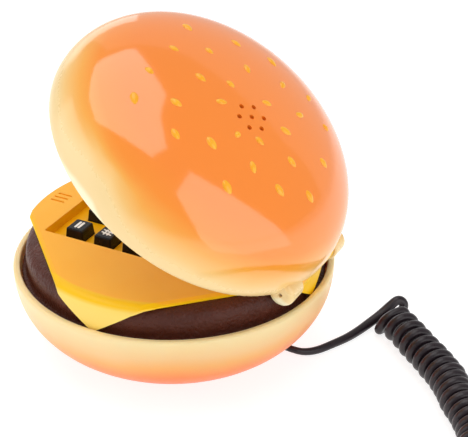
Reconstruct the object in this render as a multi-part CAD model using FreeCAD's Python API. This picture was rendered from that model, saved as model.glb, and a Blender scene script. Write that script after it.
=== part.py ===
import FreeCAD, Part
import os
import math

V = FreeCAD.Vector
os.makedirs("parts", exist_ok=True)

# ---------------------------------------------------------------- dimensions
# Frame: millimetres, +Z up, origin at the middle of the underside.
# +Y is the hinge side, -Y the microphone side, X runs along the hinge pin.

# bottom bun (superellipse bowl, widest at its rim)
BUN_R = 60.0            # outer radius at the rim
BUN_RIM_Z = 34.7        # height of the rim
BUN_DEPTH = 37.9        # depth of the full superellipse below the rim
BUN_EXP = 2.31          # superellipse exponent
BUN_WALL = 2.5
BUN_BASE_Z = 0.8        # underside of the moulding, above the table
BUN_FLOOR_Z = 3.2       # inner floor
LEDGE_Z = 27.5          # ledge that carries the patty ring
LEDGE_R = 49.5

# foot
FOOT_R = 30.0
FOOT_T = 1.6
FOOT_NOTCH_X, FOOT_NOTCH_Y = 8.5, 22.0

# cheese plate
CHEESE_Z = 45.65        # top plane
CHEESE_T = 1.6
CHEESE_HALF_DIAG = 69.8
DRAPE_R0 = 52.7         # radius where the corners start to bend down
DRAPE_BEND = 4.3        # bend radius of the drooping corners
DRAPE_TIP = 12.6        # how far a corner tip hangs below the top plane
# a corner's lower edge: distance from its middle, height below the top plane
DRAPE_EDGE = ((0.0, -DRAPE_TIP), (14.6, -3.0), (18.0, -1.9), (22.0, -1.62))
EDGE_W, EDGE_DROP = 1.5, 1.0    # bevel along the straight edges
FRONT_R = 55.75         # the front corner is cut to this radius

# keypad recess and keys
REC_X = 24.0
REC_Y0, REC_Y1 = -41.5, 26.6
REC_DEPTH = 4.1
REC_FLOOR_T = 1.5
REC_WALL = 1.5
KEY_COLS = (-15.2, 0.0, 15.2)
KEY_ROWS = (-31.6, -19.4, -7.2, 5.0, 17.2)
KEY_X, KEY_Y = 8.4, 7.7         # key at its foot
KEY_TOP_X, KEY_TOP_Y = 7.7, 7.1
KEY_TOP_Z = CHEESE_Z + 0.45
KEY_GAP = 0.3
KEY_FLANGE = 0.8
KEY_NAMES = (("key_fn_left", "key_fn_mid", "key_fn_right"),
             ("key_star", "key_0", "key_hash"),
             ("key_7", "key_8", "key_9"),
             ("key_4", "key_5", "key_6"),
             ("key_1", "key_2", "key_3"))

# patty ring
PATTY_WALL_TOP = CHEESE_Z - CHEESE_T

# hinge
HINGE_Y, HINGE_Z = 55.2, 44.9
PIN_R = 0.8
PIN_HALF = 21.4
KNUCKLE_R, KNUCKLE_HALF = 3.8, 13.25
LUG_R, LUG_X0, LUG_X1 = 4.8, 13.6, 22.6
LID_OPEN_DEG = 36.0     # the lid's angle in the rest pose

# top bun (lid), measured from its rim plane
LID_Z = 44.0            # rim plane when closed
LID_R = 58.8
LID_H = 38.0
LID_EXP = 2.06
LID_TUCK = 0.985        # rim radius over widest radius
LID_WIDE_Z = 3.6        # height of the widest circle above the rim plane
LID_WALL = 2.1
LINER_Z0, LINER_T, LINER_R = 4.2, 1.8, 56.3
SOUND_HOLE_R = 0.9
SOUND_HOLES = ((9.3, 1.2), (5.1, 4.1), (13.5, 3.3), (9.4, 6.2),
               (5.2, 9.2), (13.7, 8.3), (9.6, 11.3))

# sesame seeds: place on the lid (x, y at closed), turn of the pointed end, length factor
SEED_LEN, SEED_R, SEED_SINK = 5.0, 1.12, 0.42
SEEDS = ((-10.2, -33.4, 61, 1.15), (6.7, -29.5, 92, 0.87), (-3.2, -21.1, 86, 0.80), (-19.7, -17.9, 88, 0.95),
         (-27.4, -4.8, 69, 1.12), (-9.1, -7.7, 51, 0.97), (22.1, -28.7, 79, 0.84), (11.8, -15.3, 88, 1.00),
         (4.6, -7.0, 90, 0.80), (-18.6, 4.3, 16, 0.95), (34.4, -24.8, 44, 1.10), (27.2, -14.1, 96, 1.00),
         (14.3, -4.3, 137, 0.92), (-2.0, 6.0, 131, 0.90), (-29.1, 13.5, 12, 1.00), (-13.4, 16.3, 154, 0.95),
         (-25.4, 25.5, 116, 0.80), (36.3, -6.4, 74, 0.96), (29.8, 3.9, 77, 1.12), (19.9, 7.5, 14, 0.60),
         (14.2, 14.0, 97, 0.88), (0.3, 17.4, 119, 1.08), (23.6, 18.9, 62, 0.96), (7.6, 26.4, 95, 1.00),
         (-8.5, 34.0, 107, 1.00), (35.6, 17.8, 74, 1.12), (19.5, 30.4, 90, 1.10), (8.1, 38.9, 93, 1.10),
         (-52.0, 5.0, 80, 1.00), (-51.0, -11.0, 60, 0.90), (-50.0, 19.0, 105, 1.00), (-46.5, -27.0, 70, 0.95))

# base screws
POSTS = ((29.0, 26.0), (-29.0, 26.0), (29.0, -26.0), (-29.0, -26.0))
POST_TOP = 24.0
BOARD_X, BOARD_Y0, BOARD_Y1, BOARD_Z, BOARD_T = 25.6, -38.0, 42.0, 34.1, 1.6
BOARD_BOSS = ((23.3, -34.0), (-23.3, -34.0), (23.3, 22.0), (-23.3, 22.0))

# microphone and hook switch
MIC_Y, MIC_R = -46.8, 3.0
HOOK_Y, HOOK_R, HOOK_UP = 37.0, 3.0, 2.0

# ringer switch on the underside
RS_Y, RS_TRAVEL = -27.0, 4.0

# line cord
CORD_D = 2.6
COIL_D = 14.4
RELIEF_X, RELIEF_Z, RELIEF_Y1 = -4.0, 4.2, 44.5
LEAD = ((-4.0, 44.5, 4.2), (-4.9, 49.0, 3.0), (-7.6, 52.4, 1.95), (-11.9, 55.3, 1.4),
        (-17.8, 58.3, 1.35), (-25.0, 60.9, 1.9), (-31.5, 63.0, 4.2), (-36.0, 65.2, 7.6))
COIL_Z = COIL_D / 2.0 + 0.05
COIL = ((-41.9, 66.2), (-38.4, 71.2), (-34.3, 76.9), (-28.4, 84.2), (-18.3, 95.7), (-6.9, 107.3),
        (6.0, 118.5), (20.6, 127.9), (36.0, 131.5), (51.0, 127.8), (62.0, 118.0),
        (69.5, 105.0), (74.5, 91.0), (77.6, 76.5), (79.0, 62.0))
TAIL = ((78.9, 64.4, 1.35), (80.6, 55.6, 1.35), (83.8, 47.2, 1.35), (87.4, 39.2, 1.35),
        (89.9, 31.2, 2.0), (90.8, 23.5, 3.3))
PLUG = (90.8, 23.5, 3.3)


# ------------------------------------------------------------------- helpers
def cyl(r, z0, z1, x=0.0, y=0.0):
    return Part.makeCylinder(r, z1 - z0, V(x, y, z0))


def cyl_x(r, x0, x1, y, z):
    return Part.makeCylinder(r, x1 - x0, V(x0, y, z), V(1, 0, 0))


def cyl_y(r, y0, y1, x, z):
    return Part.makeCylinder(r, y1 - y0, V(x, y0, z), V(0, 1, 0))


def box(x0, x1, y0, y1, z0, z1):
    return Part.makeBox(x1 - x0, y1 - y0, z1 - z0, V(x0, y0, z0))


def prism(points, z0, z1):
    w = Part.makePolygon([V(a, b, z0) for a, b in points] + [V(points[0][0], points[0][1], z0)])
    return Part.Face(w).extrude(V(0, 0, z1 - z0))


def spline(points):
    c = Part.BSplineCurve()
    c.interpolate([V(r, 0, z) for r, z in points])
    return c.toShape()


def line(a, b):
    return Part.LineSegment(V(a[0], 0, a[1]), V(b[0], 0, b[1])).toShape()


def arc(a, m, b):
    return Part.Arc(V(a[0], 0, a[1]), V(m[0], 0, m[1]), V(b[0], 0, b[1])).toShape()


def revolve(edges):
    f = Part.Face(Part.Wire(Part.__sortEdges__(edges)))
    return f.revolve(V(0, 0, 0), V(0, 0, 1), 360)


def offset_in(points, t):
    out = []
    for i, (r, z) in enumerate(points):
        a = points[max(i - 1, 0)]
        b = points[min(i + 1, len(points) - 1)]
        dr, dz = b[0] - a[0], b[1] - a[1]
        n = math.hypot(dr, dz)
        out.append((r - t * dz / n, z + t * dr / n))
    return out


def one(shape):
    s = shape.removeSplitter() if hasattr(shape, "removeSplitter") else shape
    if len(s.Solids) == 1:
        return s.Solids[0]
    return s


def put(name, shape):
    if len(shape.Solids) == 1:
        shape = shape.Solids[0]
    print("%-22s solids %2d  valid %s  volume %9.1f  z %.2f..%.2f" % (
        name, len(shape.Solids), shape.isValid(), shape.Volume,
        shape.BoundBox.ZMin, shape.BoundBox.ZMax))
    shape.exportStep("parts/%s.step" % name)


def opened(shape):
    s = shape.copy()
    s.rotate(V(0, HINGE_Y, HINGE_Z), V(1, 0, 0), -LID_OPEN_DEG)
    return s


def round_rect(cx, cy, lx, ly, r, z):
    x0, x1, y0, y1 = cx - lx / 2, cx + lx / 2, cy - ly / 2, cy + ly / 2
    h = r * (1 - math.sqrt(0.5))
    e = [Part.LineSegment(V(x0 + r, y0, z), V(x1 - r, y0, z)),
         Part.Arc(V(x1 - r, y0, z), V(x1 - h, y0 + h, z), V(x1, y0 + r, z)),
         Part.LineSegment(V(x1, y0 + r, z), V(x1, y1 - r, z)),
         Part.Arc(V(x1, y1 - r, z), V(x1 - h, y1 - h, z), V(x1 - r, y1, z)),
         Part.LineSegment(V(x1 - r, y1, z), V(x0 + r, y1, z)),
         Part.Arc(V(x0 + r, y1, z), V(x0 + h, y1 - h, z), V(x0, y1 - r, z)),
         Part.LineSegment(V(x0, y1 - r, z), V(x0, y0 + r, z)),
         Part.Arc(V(x0, y0 + r, z), V(x0 + h, y0 + h, z), V(x0 + r, y0, z))]
    return Part.Wire([c.toShape() for c in e])


def slab(cx, cy, lx, ly, r, z0, z1):
    return Part.Face(round_rect(cx, cy, lx, ly, r, z0)).extrude(V(0, 0, z1 - z0))


def tube(points, d, label):
    # straight runs joined by tangent arcs, each as large as its runs allow
    P = [V(*p) for p in points]
    edges, start, radii, length = [], P[0], [], 0.0
    for i in range(1, len(P) - 1):
        a, b = P[i - 1] - P[i], P[i + 1] - P[i]
        la, lb = a.Length, b.Length
        a.normalize()
        b.normalize()
        turn = math.pi - math.acos(max(-1.0, min(1.0, a.dot(b))))
        cut = 0.45 * min(la, lb)
        rad = cut / math.tan(turn / 2)
        radii.append(rad)
        p0, p1 = P[i] + a * cut, P[i] + b * cut
        bis = a + b
        bis.normalize()
        mid = P[i] + bis * (rad / math.cos(turn / 2) - rad)
        edges.append(Part.LineSegment(start, p0).toShape())
        edges.append(Part.Arc(p0, mid, p1).toShape())
        start = p1
    edges.append(Part.LineSegment(start, P[-1]).toShape())
    wire = Part.Wire(edges)
    length = wire.Length
    t = P[1] - P[0]
    prof = Part.Wire([Part.Circle(P[0], t, d / 2).toShape()])
    s = wire.makePipeShell([prof], True, True)
    print("%s length %.1f, radii %s, volume over section x length %.4f" % (
        label, length, [round(r, 1) for r in radii], s.Volume / (math.pi * d * d / 4 * length)))
    return s


# ------------------------------------------------------------ bottom bun shell
def bun_r(z):
    return BUN_R * (1 - (max(BUN_RIM_Z - z, 0.0) / BUN_DEPTH) ** BUN_EXP) ** (1 / BUN_EXP)


zs = [BUN_BASE_Z + (BUN_RIM_Z - 1.0 - BUN_BASE_Z) * (i / 15.0) ** 1.35 for i in range(16)]
bun_out = [(bun_r(z), z) for z in zs]                   # upwards
full = [(bun_r(BUN_BASE_Z + 0.25 * i), BUN_BASE_Z + 0.25 * i) for i in range(int((BUN_RIM_Z - BUN_BASE_Z) / 0.25))]
inner_all = offset_in(full, BUN_WALL)                   # offset to the inside


def inner_r(z):
    for (r0, z0), (r1, z1) in zip(inner_all, inner_all[1:]):
        if z0 <= z <= z1:
            return r0 + (r1 - r0) * (z - z0) / (z1 - z0)
    return inner_all[-1][0]


z_in_lo = BUN_FLOOR_Z
zi = [z_in_lo + (LEDGE_Z - 2.0 - z_in_lo) * (i / 11.0) ** 1.3 for i in range(12)]
bun_in = [(inner_r(z), z) for z in zi]
rim_in = BUN_R - BUN_WALL
outer_edge = spline(bun_out)
bun_edges = [
    outer_edge,
    arc((bun_out[-1][0], BUN_RIM_Z - 1.0), (BUN_R - 0.32, BUN_RIM_Z - 0.28), (BUN_R - 1.0, BUN_RIM_Z)),
    line((BUN_R - 1.0, BUN_RIM_Z), (rim_in + 0.6, BUN_RIM_Z)),
    arc((rim_in + 0.6, BUN_RIM_Z), (rim_in + 0.176, BUN_RIM_Z - 0.176), (rim_in, BUN_RIM_Z - 0.6)),
    line((rim_in, BUN_RIM_Z - 0.6), (inner_r(LEDGE_Z) + 0.3, LEDGE_Z)),
    line((inner_r(LEDGE_Z) + 0.3, LEDGE_Z), (LEDGE_R, LEDGE_Z)),
    line((LEDGE_R, LEDGE_Z), (LEDGE_R, LEDGE_Z - 2.0)),
    line((LEDGE_R, LEDGE_Z - 2.0), bun_in[-1]),
    spline(bun_in),
    line(bun_in[0], (0, BUN_FLOOR_Z)),
    line((0, BUN_FLOOR_Z), (0, BUN_BASE_Z)),
    line((0, BUN_BASE_Z), bun_out[0]),
]
bun = revolve(bun_edges)
bun_full = revolve([spline(bun_out), line(bun_out[-1], (0, bun_out[-1][1])),
                    line((0, bun_out[-1][1]), (0, BUN_BASE_Z)), line((0, BUN_BASE_Z), bun_out[0])])
for x, y in POSTS:
    bun = bun.fuse(cyl(4.6, BUN_BASE_Z, POST_TOP - 0.2, x, y).common(bun_full))
for x, y in POSTS:
    bun = bun.cut(cyl(1.6, -1, POST_TOP + 1, x, y)).cut(cyl(3.1, -1, 12.0, x, y))
foot_room = cyl(FOOT_R, 0, FOOT_T)
foot = foot_room.makeChamfer(0.5, [e for e in foot_room.Edges if e.BoundBox.ZMax < 0.01])
for sy in (-1, 1):
    ya, yb = sorted((sy * FOOT_NOTCH_Y, sy * 2 * FOOT_R))
    notch = box(-FOOT_NOTCH_X, FOOT_NOTCH_X, ya, yb, -1, FOOT_T + 1)
    foot_room = foot_room.cut(notch)
    foot = foot.cut(notch)
bun = bun.cut(foot_room)
bun = bun.cut(cyl_y(2.2, 33.0, 41.5, RELIEF_X, RELIEF_Z))
nose = Part.makeCone(2.75, 1.75, RELIEF_Y1 - 41.4, V(RELIEF_X, 41.4, RELIEF_Z), V(0, 1, 0))
bun = bun.cut(nose)
bun = bun.cut(box(-4.2, 4.2, RS_Y - 2.0, RS_Y + 2.0, 0, 4))
put("bottom_bun_shell", one(bun))

# anti-slip foot
put("foot_pad", one(foot))

# ------------------------------------------------------------------ patty ring
patty_out = [(54.9, 33.0), (54.75, 34.2), (54.95, 36.2), (55.1, 38.2), (54.95, 40.0), (54.3, 41.7),
             (53.0, 43.0), (51.2, 43.75), (49.0, PATTY_WALL_TOP)]
patty_skirt = [(51.6, LEDGE_Z), (53.9, 30.0), (56.9, 31.2), (56.9, 32.2), (55.3, 32.4), (54.9, 33.0)]
patty_in = [(49.0, 42.2), (50.6, 41.95), (51.9, 41.2), (52.8, 39.9), (53.2, 38.5),
            (53.2, 37.0), (52.6, 33.8), (51.5, 30.5), (49.9, LEDGE_Z)]
patty = revolve([spline(patty_out), line(patty_out[-1], (46.0, PATTY_WALL_TOP)),
                 line((46.0, PATTY_WALL_TOP), (46.0, 42.2)), line((46.0, 42.2), patty_in[0]),
                 spline(patty_in), line(patty_in[-1], patty_skirt[0])]
                + [line(a, b) for a, b in zip(patty_skirt, patty_skirt[1:])])
patty = patty.cut(box(-REC_X - 1.9, REC_X + 1.9, REC_Y0 - 1.9, REC_Y1 + 1.9, 40, 46))
patty = patty.cut(cyl(4.7, 36, 46, 0, MIC_Y))
patty = patty.cut(cyl_x(LUG_R + 0.4, -LUG_X1 - 0.5, LUG_X1 + 0.5, HINGE_Y, HINGE_Z))
put("patty_ring", one(patty))

# ---------------------------------------------------------------- cheese plate
zc, t = CHEESE_Z, CHEESE_T
c0, b0 = DRAPE_R0, DRAPE_BEND
q = math.sqrt(0.5)
drape = revolve([
    line((0, zc), (c0, zc)),
    arc((c0, zc), (c0 + b0 * q, zc - b0 + b0 * q), (c0 + b0, zc - b0)),
    line((c0 + b0, zc - b0), (c0 + b0, zc - 16)),
    line((c0 + b0, zc - 16), (c0 + b0 - t, zc - 16)),
    line((c0 + b0 - t, zc - 16), (c0 + b0 - t, zc - b0)),
    arc((c0 + b0 - t, zc - b0), (c0 + (b0 - t) * q, zc - b0 + (b0 - t) * q), (c0, zc - t)),
    line((c0, zc - t), (0, zc - t)),
    line((0, zc - t), (0, zc)),
])
D = CHEESE_HALF_DIAG
diamond = prism([(D, 0), (0, D), (-D, 0), (0, -D)], zc - 20, zc + 2)
wedge = prism([(0, 0), (90, -90), (-90, -90)], zc - 20, zc + 2)
drape = drape.common(diamond).cut(wedge)
front = cyl(FRONT_R, zc - t, zc).common(diamond).common(wedge)


def vee(angle):
    half = [V(48, w, zc + h) for w, h in DRAPE_EDGE] + [V(48, DRAPE_EDGE[-1][0], zc - 30)]
    pts = half + [V(p.x, -p.y, p.z) for p in reversed(half[1:])]
    s = Part.Face(Part.makePolygon(pts + [pts[0]])).extrude(V(14, 0, 0))
    s.rotate(V(0, 0, 0), V(0, 0, 1), angle)
    return s


for a in (0, 90, 180):
    drape = drape.cut(vee(a))
cheese = drape.fuse(front)
y0 = D * q
for a in (-45, 45, 135, -135):
    pts = [V(-60, y0 - EDGE_W, zc), V(-60, y0 + 1, zc - EDGE_DROP * (EDGE_W + 1) / EDGE_W),
           V(-60, y0 + 1, zc + 1), V(-60, y0 - EDGE_W, zc + 1)]
    bevel = Part.Face(Part.makePolygon(pts + [pts[0]])).extrude(V(120, 0, 0))
    bevel.rotate(V(0, 0, 0), V(0, 0, 1), a)
    cheese = cheese.cut(bevel)
ry0, ry1 = REC_Y0 - REC_WALL, REC_Y1 + REC_WALL
rz = zc - REC_DEPTH
tub = slab(0, (ry0 + ry1) / 2, 2 * (REC_X + REC_WALL), ry1 - ry0, 2.0, rz - REC_FLOOR_T, zc)
cheese = cheese.fuse(tub)
for x, y in POSTS:
    cheese = cheese.fuse(cyl(3.0, POST_TOP, zc - 0.5, x, y))
for x, y in BOARD_BOSS:
    cheese = cheese.fuse(cyl(2.2, BOARD_Z + BOARD_T, rz - 0.2, x, y))
cheese = cheese.fuse(cyl(4.3, 38.0, zc - 0.5, 0, MIC_Y))
cheese = cheese.fuse(cyl_x(KNUCKLE_R, -KNUCKLE_HALF, KNUCKLE_HALF, HINGE_Y, HINGE_Z))
cheese = cheese.cut(slab(0, (REC_Y0 + REC_Y1) / 2, 2 * REC_X, REC_Y1 - REC_Y0, 0.8, rz, zc + 3))
for y in KEY_ROWS:
    for x in KEY_COLS:
        cheese = cheese.cut(slab(x, y, KEY_X + 2 * KEY_GAP, KEY_Y + 2 * KEY_GAP, 0.9, rz - 3, rz + 1))
for x, y in POSTS:
    cheese = cheese.cut(cyl(1.3, POST_TOP - 1, 38.0, x, y))
for x, y in BOARD_BOSS:
    cheese = cheese.cut(cyl(1.0, BOARD_Z, rz - 0.9, x, y))
cheese = cheese.cut(cyl(MIC_R + 0.05, 37.0, zc - t, 0, MIC_Y))
for x in (-2.65, 0.0, 2.65):
    cheese = cheese.cut(slab(x, -49.9, 0.9, 6.2, 0.42, zc - 0.7, zc + 1))
    cheese = cheese.cut(cyl(0.35, zc - 3, zc + 1, 0.96 * x, -47.6))
cheese = cheese.cut(cyl(HOOK_R + 0.3, zc - 3, zc + 1, 0, HOOK_Y))
for s in (-1, 1):
    x0, x1 = sorted((s * KNUCKLE_HALF, s * (LUG_X1 + 0.5)))
    cheese = cheese.cut(cyl_x(LUG_R + 0.4, x0, x1, HINGE_Y, HINGE_Z))
    cheese = cheese.cut(box(x0, x1, 52.0, 60.0, 30.0, 44.9))
cheese = cheese.cut(cyl_x(PIN_R + 0.05, -30, 30, HINGE_Y, HINGE_Z))
put("cheese_plate", one(cheese))

# ------------------------------------------------------------------------ keys
for row, y in zip(KEY_NAMES, KEY_ROWS):
    for name, x in zip(row, KEY_COLS):
        fz1 = rz - REC_FLOOR_T - 0.3
        cap_z = rz + 0.6
        k = slab(x, y, KEY_X + 2 * KEY_FLANGE, KEY_Y + 2 * KEY_FLANGE, 1.2, fz1 - 1.0, fz1)
        k = k.fuse(slab(x, y, KEY_X, KEY_Y, 0.6, fz1, cap_z))
        top = Part.makeLoft([round_rect(x, y, KEY_X, KEY_Y, 0.6, cap_z),
                             round_rect(x, y, KEY_TOP_X, KEY_TOP_Y, 0.6, KEY_TOP_Z - 0.4)], True, True)
        crown = Part.makeLoft([round_rect(x, y, KEY_TOP_X, KEY_TOP_Y, 0.6, KEY_TOP_Z - 0.4),
                               round_rect(x, y, KEY_TOP_X - 0.9, KEY_TOP_Y - 0.9, 0.45, KEY_TOP_Z)], True, True)
        put(name, one(k.fuse(top).fuse(crown)))

# --------------------------------------------------------- board and its parts
mat_z = BOARD_Z + BOARD_T
mat = slab(0, -7.2, 41.0, 60.0, 2.0, mat_z, mat_z + 0.8)
for y in KEY_ROWS:
    for x in KEY_COLS:
        mat = mat.fuse(Part.makeCone(4.0, 2.9, 0.65, V(x, y, mat_z + 0.75)))
put("keypad_mat", one(mat))

board = slab(0, (BOARD_Y0 + BOARD_Y1) / 2, 2 * BOARD_X, BOARD_Y1 - BOARD_Y0, 3.0, BOARD_Z, mat_z)
for x, y in BOARD_BOSS:
    board = board.cut(cyl(1.2, BOARD_Z - 1, mat_z + 1, x, y))
put("main_board", one(board))

screws = []
for x, y in BOARD_BOSS:
    s = cyl(2.0, BOARD_Z - 1.4, BOARD_Z, x, y).fuse(cyl(1.0, BOARD_Z, rz - 1.2, x, y))
    screws.append(one(s.cut(box(x - 1.5, x + 1.5, y - 0.25, y + 0.25, BOARD_Z - 1.5, BOARD_Z - 0.8))))
put("board_screws", Part.makeCompound(screws))

chip = slab(-6.0, 2.0, 6.6, 23.0, 0.4, BOARD_Z - 3.8, BOARD_Z - 0.5)
for i in range(9):
    y = 2.0 - 10.16 + 2.54 * i
    for sx in (-1, 1):
        x = -6.0 + sx * 3.8
        chip = chip.fuse(box(min(x, -6.0 + sx * 3.2), max(x, -6.0 + sx * 3.2), y - 0.4, y + 0.4, BOARD_Z - 2.3, BOARD_Z - 1.9))
        chip = chip.fuse(box(x - 0.15, x + 0.15, y - 0.25, y + 0.25, BOARD_Z - 2.3, BOARD_Z))
put("dialler_chip", one(chip))

caps = []
for x, y, r, h in ((12.0, -20.0, 3.2, 11.0), (12.0, -11.0, 3.2, 11.0), (11.0, 14.0, 4.0, 12.0)):
    c = cyl(r, BOARD_Z - h, BOARD_Z, x, y)
    caps.append(c.makeFillet(0.4, [e for e in c.Edges if e.BoundBox.ZMax < BOARD_Z - h + 0.01]))
put("capacitors", Part.makeCompound(caps))

hook_body = slab(0, HOOK_Y, 12.0, 6.6, 0.5, mat_z, mat_z + 2.5)
put("hook_switch_body", hook_body)

plunger = cyl(HOOK_R, zc - t - 0.4, zc + HOOK_UP, 0, HOOK_Y)
plunger = plunger.makeFillet(1.1, [e for e in plunger.Edges if e.BoundBox.ZMin > zc + HOOK_UP - 0.01])
plunger = plunger.fuse(cyl(HOOK_R + 1.2, zc - t - 1.4, zc - t - 0.4, 0, HOOK_Y))
plunger = plunger.fuse(cyl(2.0, zc - t - 3.6, zc - t - 1.4, 0, HOOK_Y))
put("hook_plunger", one(plunger))

mic = cyl(MIC_R, 38.6, 43.0, 0, MIC_Y)
mic = mic.cut(cyl(1.0, 42.6, 44, 0, MIC_Y))
put("microphone", mic)

screws = []
for x, y in POSTS:
    s = cyl(2.9, 9.8, 12.0, x, y).fuse(cyl(1.3, 12.0, 36.0, x, y))
    s = s.cut(box(x - 2.2, x + 2.2, y - 0.35, y + 0.35, 9.5, 10.9)).cut(box(x - 0.35, x + 0.35, y - 2.2, y + 2.2, 9.5, 10.9))
    screws.append(one(s))
put("base_screws", Part.makeCompound(screws))

# ringer switch: housing on the inner floor, slider through the underside
rs = box(-7.0, 7.0, RS_Y - 3.5, RS_Y + 3.5, BUN_FLOOR_Z, BUN_FLOOR_Z + 5.0)
rs = rs.cut(box(-5.4, 5.4, RS_Y - 2.4, RS_Y + 2.4, BUN_FLOOR_Z - 0.1, BUN_FLOOR_Z + 2.4))
put("ringer_switch_body", rs)
xs = -RS_TRAVEL / 2
sl = box(xs - 1.7, xs + 1.7, RS_Y - 1.6, RS_Y + 1.6, 1.4, BUN_FLOOR_Z + 0.4)
for i in (-1, 0, 1):
    sl = sl.cut(box(xs + i * 1.0 - 0.2, xs + i * 1.0 + 0.2, RS_Y - 2, RS_Y + 2, 1.0, 1.8))
sl = sl.fuse(box(xs - 2.6, xs + 2.6, RS_Y - 2.1, RS_Y + 2.1, BUN_FLOOR_Z + 0.4, BUN_FLOOR_Z + 2.0))
put("ringer_switch_slider", one(sl))

# strain relief: plug in the wall, collar and tapered nose
rel = cyl_y(2.2, 33.0, 39.4, RELIEF_X, RELIEF_Z)
wall = cyl_y(2.2, 39.0, 41.4, RELIEF_X, RELIEF_Z)
rel = rel.fuse(wall).fuse(nose)
put("strain_relief", one(rel))

# ------------------------------------------------------------------- line cord
lead = tube(LEAD, CORD_D, "lead")
put("line_cord_lead", lead)
coil = tube([(x, y, COIL_Z) for x, y in COIL], COIL_D, "coil")
put("line_cord_coil", coil)
tail = tube(TAIL, CORD_D, "tail")
put("line_cord_tail", tail)

# modular plug on the far end: body, latch, contacts
px, py, pz = PLUG
body = box(px - 4.8, px + 4.8, py - 12.6, py - 0.0, pz - 3.25, pz + 3.05)
body = body.makeChamfer(0.5, [e for e in body.Edges if abs(e.BoundBox.YLength - 12.6) < 0.01])
body = body.cut(box(px - 3.1, px + 3.1, py - 7.4, py - 3.4, pz + 2.2, pz + 4))
for i in range(4):
    cx = px - 1.8 + 1.2 * i
    body = body.cut(box(cx - 0.3, cx + 0.3, py - 13, py - 6.4, pz - 3.4, pz - 0.6))
latch = Part.Face(Part.makePolygon([V(px - 1.6, py - 12.2, pz + 2.9), V(px - 1.6, py - 11.0, pz + 2.9),
                                    V(px - 1.6, py - 1.2, pz + 4.9), V(px - 1.6, py - 1.2, pz + 5.6),
                                    V(px - 1.6, py - 11.4, pz + 3.7), V(px - 1.6, py - 12.2, pz + 2.9)])).extrude(V(3.2, 0, 0))
put("line_plug", one(body.fuse(latch)))
con = []
for i in range(4):
    cx = px - 1.8 + 1.2 * i
    con.append(box(cx - 0.2, cx + 0.2, py - 12.3, py - 6.6, pz - 2.9, pz - 0.7))
put("plug_contacts", Part.makeCompound(con))

# ------------------------------------------------------------------- lid shell
def lid_r(z):
    if z >= LID_WIDE_Z:
        u = min((z - LID_WIDE_Z) / (LID_H - LID_WIDE_Z), 1.0)
        return LID_R * (1 - u ** LID_EXP) ** (1 / LID_EXP)
    u = 1 - z / LID_WIDE_Z
    return LID_R * LID_TUCK + LID_R * (1 - LID_TUCK) * math.sqrt(max(0.0, 1 - u * u))


lid_pts = []
for z in (0.7, 1.4, 2.3):
    lid_pts.append((lid_r(z), z))
for i in range(0, 25):
    a = math.pi / 2 * i / 24.0
    lid_pts.append((LID_R * max(math.cos(a), 0.0) ** (2 / LID_EXP),
                    LID_WIDE_Z + (LID_H - LID_WIDE_Z) * math.sin(a) ** (2 / LID_EXP)))
lid_pts[-1] = (0.0, LID_H)
lid_inn = offset_in(lid_pts, LID_WALL)
lid_inn[-1] = (0.0, LID_H - LID_WALL)
lid_inn[0] = (lid_pts[0][0] - LID_WALL, 0.7)
ro, ri = lid_pts[0][0], lid_inn[0][0]


def up(points):
    return [(r, z + LID_Z) for r, z in points]


L0 = LID_Z
lid_edges = [
    spline(up(lid_pts)),
    line((0, L0 + LID_H), (0, L0 + LID_H - LID_WALL)),
    spline(up(lid_inn)),
    arc((ri, L0 + 0.7), (ri + 0.205, L0 + 0.205), (ri + 0.7, L0)),
    line((ri + 0.7, L0), (ro - 0.7, L0)),
    arc((ro - 0.7, L0), (ro - 0.205, L0 + 0.205), (ro, L0 + 0.7)),
]
lid = revolve(lid_edges)
lid_full = revolve([spline(up(lid_pts)), line((0, L0 + LID_H), (0, L0 + 0.7)),
                    line((0, L0 + 0.7), (ro, L0 + 0.7))])
# the dome lowered by half a wall, so that inner posts end inside the wall
lid_full.translate(V(0, 0, -LID_WALL / 2))

# hinge lugs: rounded barrels on the rim
for s in (-1, 1):
    x0, x1 = sorted((s * LUG_X0, s * LUG_X1))
    lug = cyl_x(LUG_R, x0, x1, HINGE_Y, HINGE_Z)
    for xe, rad in ((s * LUG_X1, 2.0), (s * LUG_X0, 0.6)):
        lug = lug.makeFillet(rad, [e for e in lug.Edges if abs(e.BoundBox.XMin - xe) < 0.01 and abs(e.BoundBox.XMax - xe) < 0.01])
    lid = lid.fuse(lug)
# posts for the liner screws, and the cup that holds the sounder
LPOSTS = [(40.0 * math.cos(math.radians(a)), 40.0 * math.sin(math.radians(a))) for a in (35, 145, 270)]
for x, y in LPOSTS:
    lid = lid.fuse(cyl(3.2, L0 + LINER_Z0 + LINER_T, L0 + LID_H, x, y).common(lid_full))
cup = cyl(13.4, L0 + 28.5, L0 + LID_H, 9.4, 6.2).cut(cyl(12.05, L0 + 20, L0 + LID_H + 5, 9.4, 6.2)).common(lid_full)
lid = lid.fuse(cup)
for x, y in LPOSTS:
    lid = lid.cut(cyl(1.0, L0, L0 + 16.0, x, y))
for x, y in SOUND_HOLES:
    lid = lid.cut(cyl(SOUND_HOLE_R, L0 + 30, L0 + LID_H + 3, x, y))
lid = lid.cut(cyl_x(KNUCKLE_R + 0.4, -LUG_X0, LUG_X0, HINGE_Y, HINGE_Z))
lid = lid.cut(cyl_x(PIN_R, -30, 30, HINGE_Y, HINGE_Z))
put("top_bun_shell", opened(one(lid)))

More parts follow.
